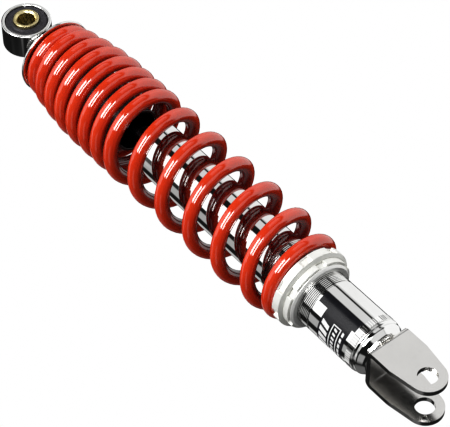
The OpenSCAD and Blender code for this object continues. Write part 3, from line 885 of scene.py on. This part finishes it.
INNER = {
    "bump_stop": BUMP_RUBBER, "bump_washer": STEEL, "piston_rod": ROD_PAINTED_DARK, "rebound_bumper": NYLON,
    "rebound_shim": STEEL, "piston": SINTER, "piston_ring": NYLON, "compression_shim": STEEL,
    "piston_nut": NUT, "damper_cylinder": STEEL, "seal_retainer": STEEL, "dust_wiper": SEAL_RUBBER,
    "rod_seal": SEAL_RUBBER, "rod_guide": SINTER, "guide_bush": BRONZE, "base_valve_shim": STEEL,
    "base_valve": SINTER, "base_valve_rivet": STEEL}
for name, mat in INNER.items():
    data = frame["nodes"][name].data
    data.materials.clear()
    data.materials.append(mat)

# ---------------------------------------------------------------- floor, light and camera

scene = bpy.context.scene
FLOOR_Z = -1.3
floor_mesh = bpy.data.meshes.new("floor")
corners = [(x, y, FLOOR_Z) for x, y in ((-6, -6), (6, -6), (6, 6), (-6, 6))]
floor_mesh.from_pydata(corners, [], [(0, 1, 2, 3)])
floor_obj = bpy.data.objects.new("floor", floor_mesh)
scene.collection.objects.link(floor_obj)
floor_look = Look("floor_paint", Roughness=0.7)
floor_look.colour(floor_look.noise(2, 2), (0.3, (0.80, 0.80, 0.80)), (0.7, (0.83, 0.83, 0.83)))
floor_mesh.materials.append(floor_look.mat)
floor_obj.visible_glossy = False
floor_obj.visible_diffuse = False

world = bpy.data.worlds.new("studio")
scene.world = world
world.use_nodes = True
tree = world.node_tree
tree.nodes.clear()


def wnode(kind, **settings):
    made = tree.nodes.new(kind)
    for key, value in settings.items():
        setattr(made, key, value)
    return made


def wmath(operation, *values):
    made = wnode("ShaderNodeMath", operation=operation)
    for socket, value in zip(made.inputs, values):
        if isinstance(value, (int, float)):
            socket.default_value = value
        else:
            tree.links.new(value, socket)
    return made.outputs[0]


direction = wnode("ShaderNodeTexCoord").outputs["Generated"]
split = wnode("ShaderNodeSeparateXYZ")
tree.links.new(direction, split.inputs[0])
azimuth = wmath("MULTIPLY", wmath("ARCTAN2", split.outputs["Y"], split.outputs["X"]), 180 / pi)
height = wmath("MULTIPLY", wmath("ARCSINE", split.outputs["Z"]), 180 / pi)


def panel(centre, width, level, tall, value, soft=2.0):
    """A soft-edged card: centre and width are azimuths, level and tall are elevations, all in degrees."""
    turned = wmath("WRAP", wmath("SUBTRACT", azimuth, centre), 180.0, -180.0)
    masks = []
    for offset, size in ((turned, width), (wmath("SUBTRACT", height, level), tall)):
        away = wmath("SUBTRACT", size / 2, wmath("ABSOLUTE", offset))
        ramp = wnode("ShaderNodeMapRange", interpolation_type="SMOOTHSTEP")
        ramp.inputs["From Min"].default_value = -soft
        ramp.inputs["From Max"].default_value = soft
        tree.links.new(away, ramp.inputs["Value"])
        masks.append(ramp.outputs["Result"])
    return wmath("MULTIPLY", wmath("MULTIPLY", masks[0], masks[1]), value)


def total(values):
    result = values[0]
    for value in values[1:]:
        result = wmath("ADD", result, value)
    return result


# Diffuse light is raised by FILL and by a constant AMBIENT. Reflections see the panels as they are.
FILL = 0.5
AMBIENT = 0.16
TONE = ((0.05, 0.026), (0.2, 0.145), (0.45, 0.42), (0.75, 0.76))
# Azimuth and its width, elevation and its height, strength, and softness of the edge.
PANELS = [
    (0, 400, 0, 200, 0.015, 2),
    (-5, 77, 16, 116, 0.62, 3),
    (-5, 77, -8, 66, 0.36, 6),
    (-1, 72, 31, 24, 0.22, 2),
    (-131, 35, 11, 24, 11.0, 2),
    (-123, 44, -26, 15, 10.0, 2),
    (-142, 66, 29, 12, 1.2, 1.5),
    (-165, 90, 57, 42, 0.9, 4),
    (-68, 32, 22, 50, 0.34, 2),
    (-68, 32, 31, 28, 0.34, 2),
    (-80, 70, -40, 34, 0.7, 5),
    (92, 26, 30, 24, 0.5, 3),
    (95, 72, 0, 30, 0.15, 6),
    (151, 32, 31, 20, 0.42, 3),
    (155, 44, -30, 20, 0.35, 4),
]
light = total([panel(*p) for p in PANELS])
glow = wnode("ShaderNodeBackground")
glow.inputs["Color"].default_value = (1, 1, 1, 1)
path = wnode("ShaderNodeLightPath")
fill = wmath("MULTIPLY_ADD", path.outputs["Is Diffuse Ray"], FILL, 1.0)
shaded = wmath("MULTIPLY_ADD", path.outputs["Is Diffuse Ray"], AMBIENT, wmath("MULTIPLY", light, fill))
tree.links.new(shaded, glow.inputs["Strength"])
plain_white = wnode("ShaderNodeBackground")
plain_white.inputs["Color"].default_value = (1, 1, 1, 1)
mix = wnode("ShaderNodeMixShader")
tree.links.new(path.outputs["Is Camera Ray"], mix.inputs["Fac"])
tree.links.new(glow.outputs[0], mix.inputs[1])
tree.links.new(plain_white.outputs[0], mix.inputs[2])
tree.links.new(mix.outputs[0], wnode("ShaderNodeOutputWorld").inputs["Surface"])

camera_data = bpy.data.cameras.new("camera")
camera_data.sensor_width = 36
camera_data.lens = 185.84
camera_data.clip_start, camera_data.clip_end = 0.05, 50
camera = bpy.data.objects.new("camera", camera_data)
scene.collection.objects.link(camera)
right = Vector((0.77467, 0.00593, -0.63234))
up = Vector((0.47473, -0.66606, 0.57533))
back = Vector((-0.41776, -0.74588, -0.51879))
turn = Matrix((right, up, back)).transposed()
camera.matrix_world = Matrix.Translation((-0.50651, -0.90158, -0.80421)) @ turn.to_4x4()
scene.camera = camera
scene.view_settings.view_transform = "Standard"

# The photograph's contrast: shadows and deep reds are pulled down, light tones stay.
scene.view_settings.use_curve_mapping = True
curves = scene.view_settings.curve_mapping
curves.extend = "HORIZONTAL"
tone = curves.curves[3].points
for x, y in TONE:
    tone.new(x, y)
curves.update()
